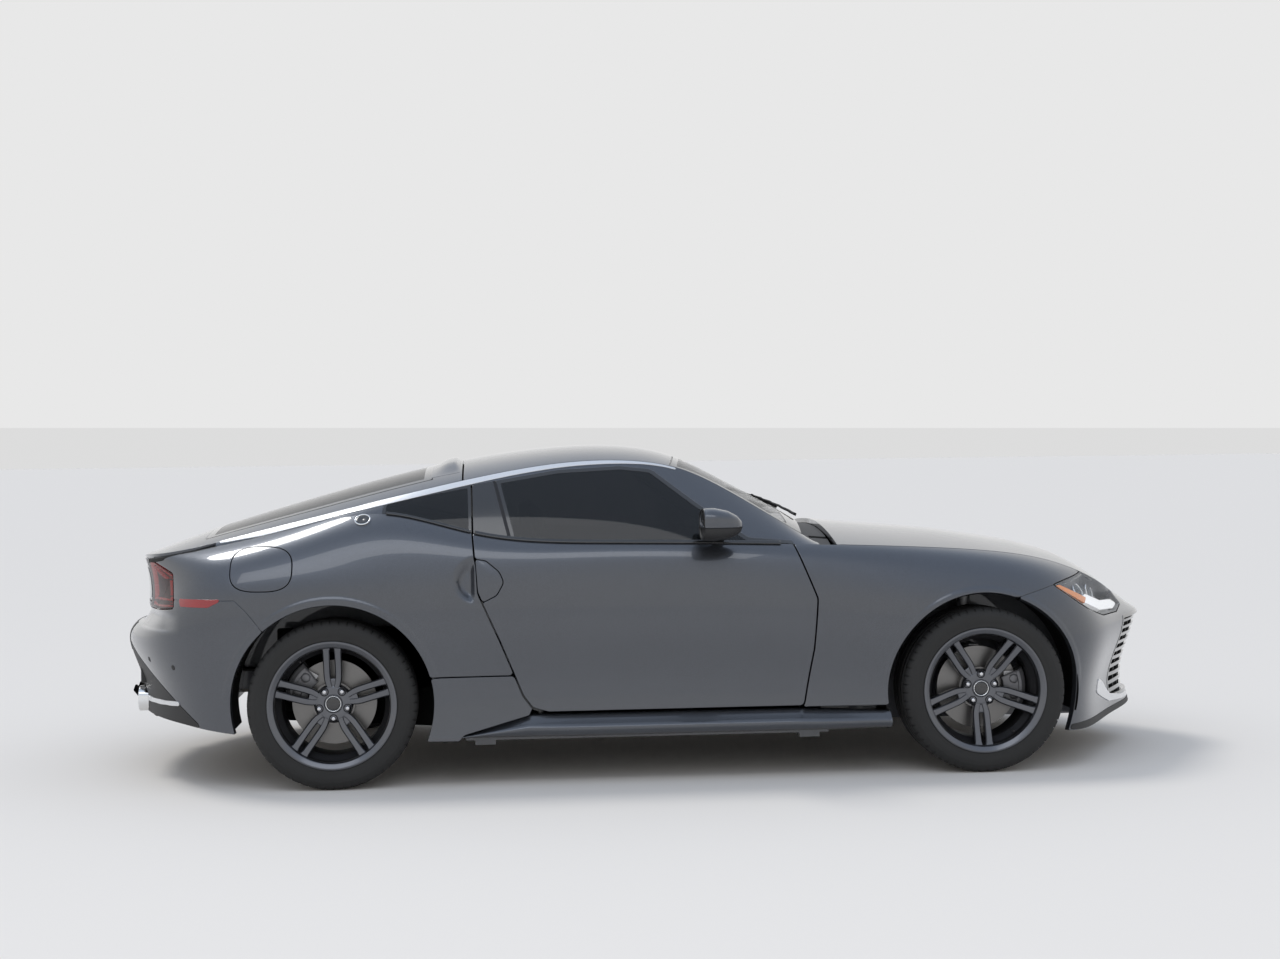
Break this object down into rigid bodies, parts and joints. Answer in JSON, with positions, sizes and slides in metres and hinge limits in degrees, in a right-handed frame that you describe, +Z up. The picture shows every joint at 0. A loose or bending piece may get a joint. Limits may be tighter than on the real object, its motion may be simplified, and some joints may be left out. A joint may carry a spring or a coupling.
{
  "type": "coupe car",
  "caption": "Two-door fastback coupe car with opening doors, hood, hatch and fuel lid, steered front wheels and free-rolling wheels.",
  "frame": {"origin": "on the ground under the middle of the car", "axes": "+X to the nose, +Y to the car's left side, +Z up"},
  "size_m": [4.3713, 2.0354, 1.3166],
  "materials": {
    "paint": "gunmetal grey metallic, glossy clear coat",
    "silver": "satin silver",
    "black_trim": "matte black",
    "glass": "tinted",
    "lamp": "clear lens",
    "tail_lamp": "dark red lens",
    "rubber": "tyre rubber",
    "alloy": "gunmetal machined alloy",
    "iron": "turned disc",
    "metal": "black coated steel",
    "engine": "cast",
    "steel": "exhaust steel",
    "cabin": "soft dark plastic",
    "leather": "black leather"
  },
  "bodies": {
    "body": {"floor_pan": "metal", "boot_floor": "metal", "bulkhead": "metal", "engine_bay": "metal", "rear_wheelhouses": "black_trim", "rear_beam": "metal", "front_beam": "metal", "engine_block": "engine", "front_suspension": "metal", "rear_suspension": "metal", "seats": "leather", "dashboard": "cabin", "centre_console": "cabin", "exhaust": "steel", "front_fender_left": "paint", "front_fender_right": "paint", "front_bumper": "paint", "headlights": "lamp", "grille": "black_trim", "sills": "paint", "quarter_panel_left": "paint", "quarter_panel_right": "paint", "rear_bumper": "paint", "diffuser": "black_trim", "tail_lights": "tail_lamp", "roof_rails": "silver", "quarter_windows": "glass", "roof_panel": "paint", "windscreen": "glass", "cowl_panel": "black_trim"},
    "hood": {"hood": "paint"},
    "hatch": {"hatch": "paint", "hatch_glass": "glass"},
    "fuel_lid": {"fuel_lid": "paint"},
    "steering_wheel": {"steering_wheel": "cabin"},
    "door_left": {"door_left": "paint", "door_glass_left": "glass", "mirror_left": "paint"},
    "knuckle_left": {"front_knuckle_left": "metal"},
    "door_right": {"door_right": "paint", "door_glass_right": "glass", "mirror_right": "paint"},
    "knuckle_right": {"front_knuckle_right": "metal"},
    "wheel_front_left": {"tyre_front_left": "rubber", "rim_front_left": "alloy", "brake_disc_front_left": "iron"},
    "wheel_front_right": {"tyre_front_right": "rubber", "rim_front_right": "alloy", "brake_disc_front_right": "iron"},
    "wheel_rear_left": {"tyre_rear_left": "rubber", "rim_rear_left": "alloy", "brake_disc_rear_left": "iron"},
    "wheel_rear_right": {"tyre_rear_right": "rubber", "rim_rear_right": "alloy", "brake_disc_rear_right": "iron"}
  },
  "joints": [
    {"name": "door_left_hinge", "type": "hinge", "parent": "body", "child": "door_left", "pos_m": [0.45, 0.84, 0.53], "axis": [0, 0, -1], "range_deg": [0, 60]},
    {"name": "door_right_hinge", "type": "hinge", "parent": "body", "child": "door_right", "pos_m": [0.45, -0.84, 0.53], "axis": [0, 0, 1], "range_deg": [0, 60]},
    {"name": "hood_hinge", "type": "hinge", "parent": "body", "child": "hood", "pos_m": [0.64, 0, 0.89], "axis": [0, -1, 0], "range_deg": [0, 45]},
    {"name": "hatch_hinge", "type": "hinge", "parent": "body", "child": "hatch", "pos_m": [-0.815, 0, 1.23879], "axis": [0, 1, 0], "range_deg": [0, 65]},
    {"name": "fuel_lid_hinge", "type": "hinge", "parent": "body", "child": "fuel_lid", "pos_m": [-1.441, -0.86745, 0.84592], "axis": [0, 0.5098, 0.8603], "range_deg": [0, 80]},
    {"name": "steer_left", "type": "hinge", "parent": "body", "child": "knuckle_left", "pos_m": [1.267, 0.7, 0.325], "axis": [0, 0, 1], "range_deg": [-35, 35]},
    {"name": "steer_right", "type": "hinge", "parent": "body", "child": "knuckle_right", "pos_m": [1.267, -0.7, 0.325], "axis": [0, 0, 1], "range_deg": [-35, 35]},
    {"name": "steering_turn", "type": "hinge", "parent": "body", "child": "steering_wheel", "pos_m": [0.3009, 0.37, 0.77969], "axis": [-0.9439, 0, 0.3304], "range_deg": [-500, 500]},
    {"name": "spin_front_left", "type": "hinge", "parent": "knuckle_left", "child": "wheel_front_left", "pos_m": [1.267, 0.77, 0.325], "axis": [0, 1, 0], "continuous": true},
    {"name": "spin_front_right", "type": "hinge", "parent": "knuckle_right", "child": "wheel_front_right", "pos_m": [1.267, -0.77, 0.325], "axis": [0, 1, 0], "continuous": true},
    {"name": "spin_rear_left", "type": "hinge", "parent": "body", "child": "wheel_rear_left", "pos_m": [-1.283, 0.77, 0.325], "axis": [0, 1, 0], "continuous": true},
    {"name": "spin_rear_right", "type": "hinge", "parent": "body", "child": "wheel_rear_right", "pos_m": [-1.283, -0.77, 0.325], "axis": [0, 1, 0], "continuous": true}
  ],
  "couplings": [
    {"joint": "steer_right", "follows": "steer_left", "ratio": 1},
    {"joint": "steering_turn", "follows": "steer_left", "ratio": 14}
  ]
}
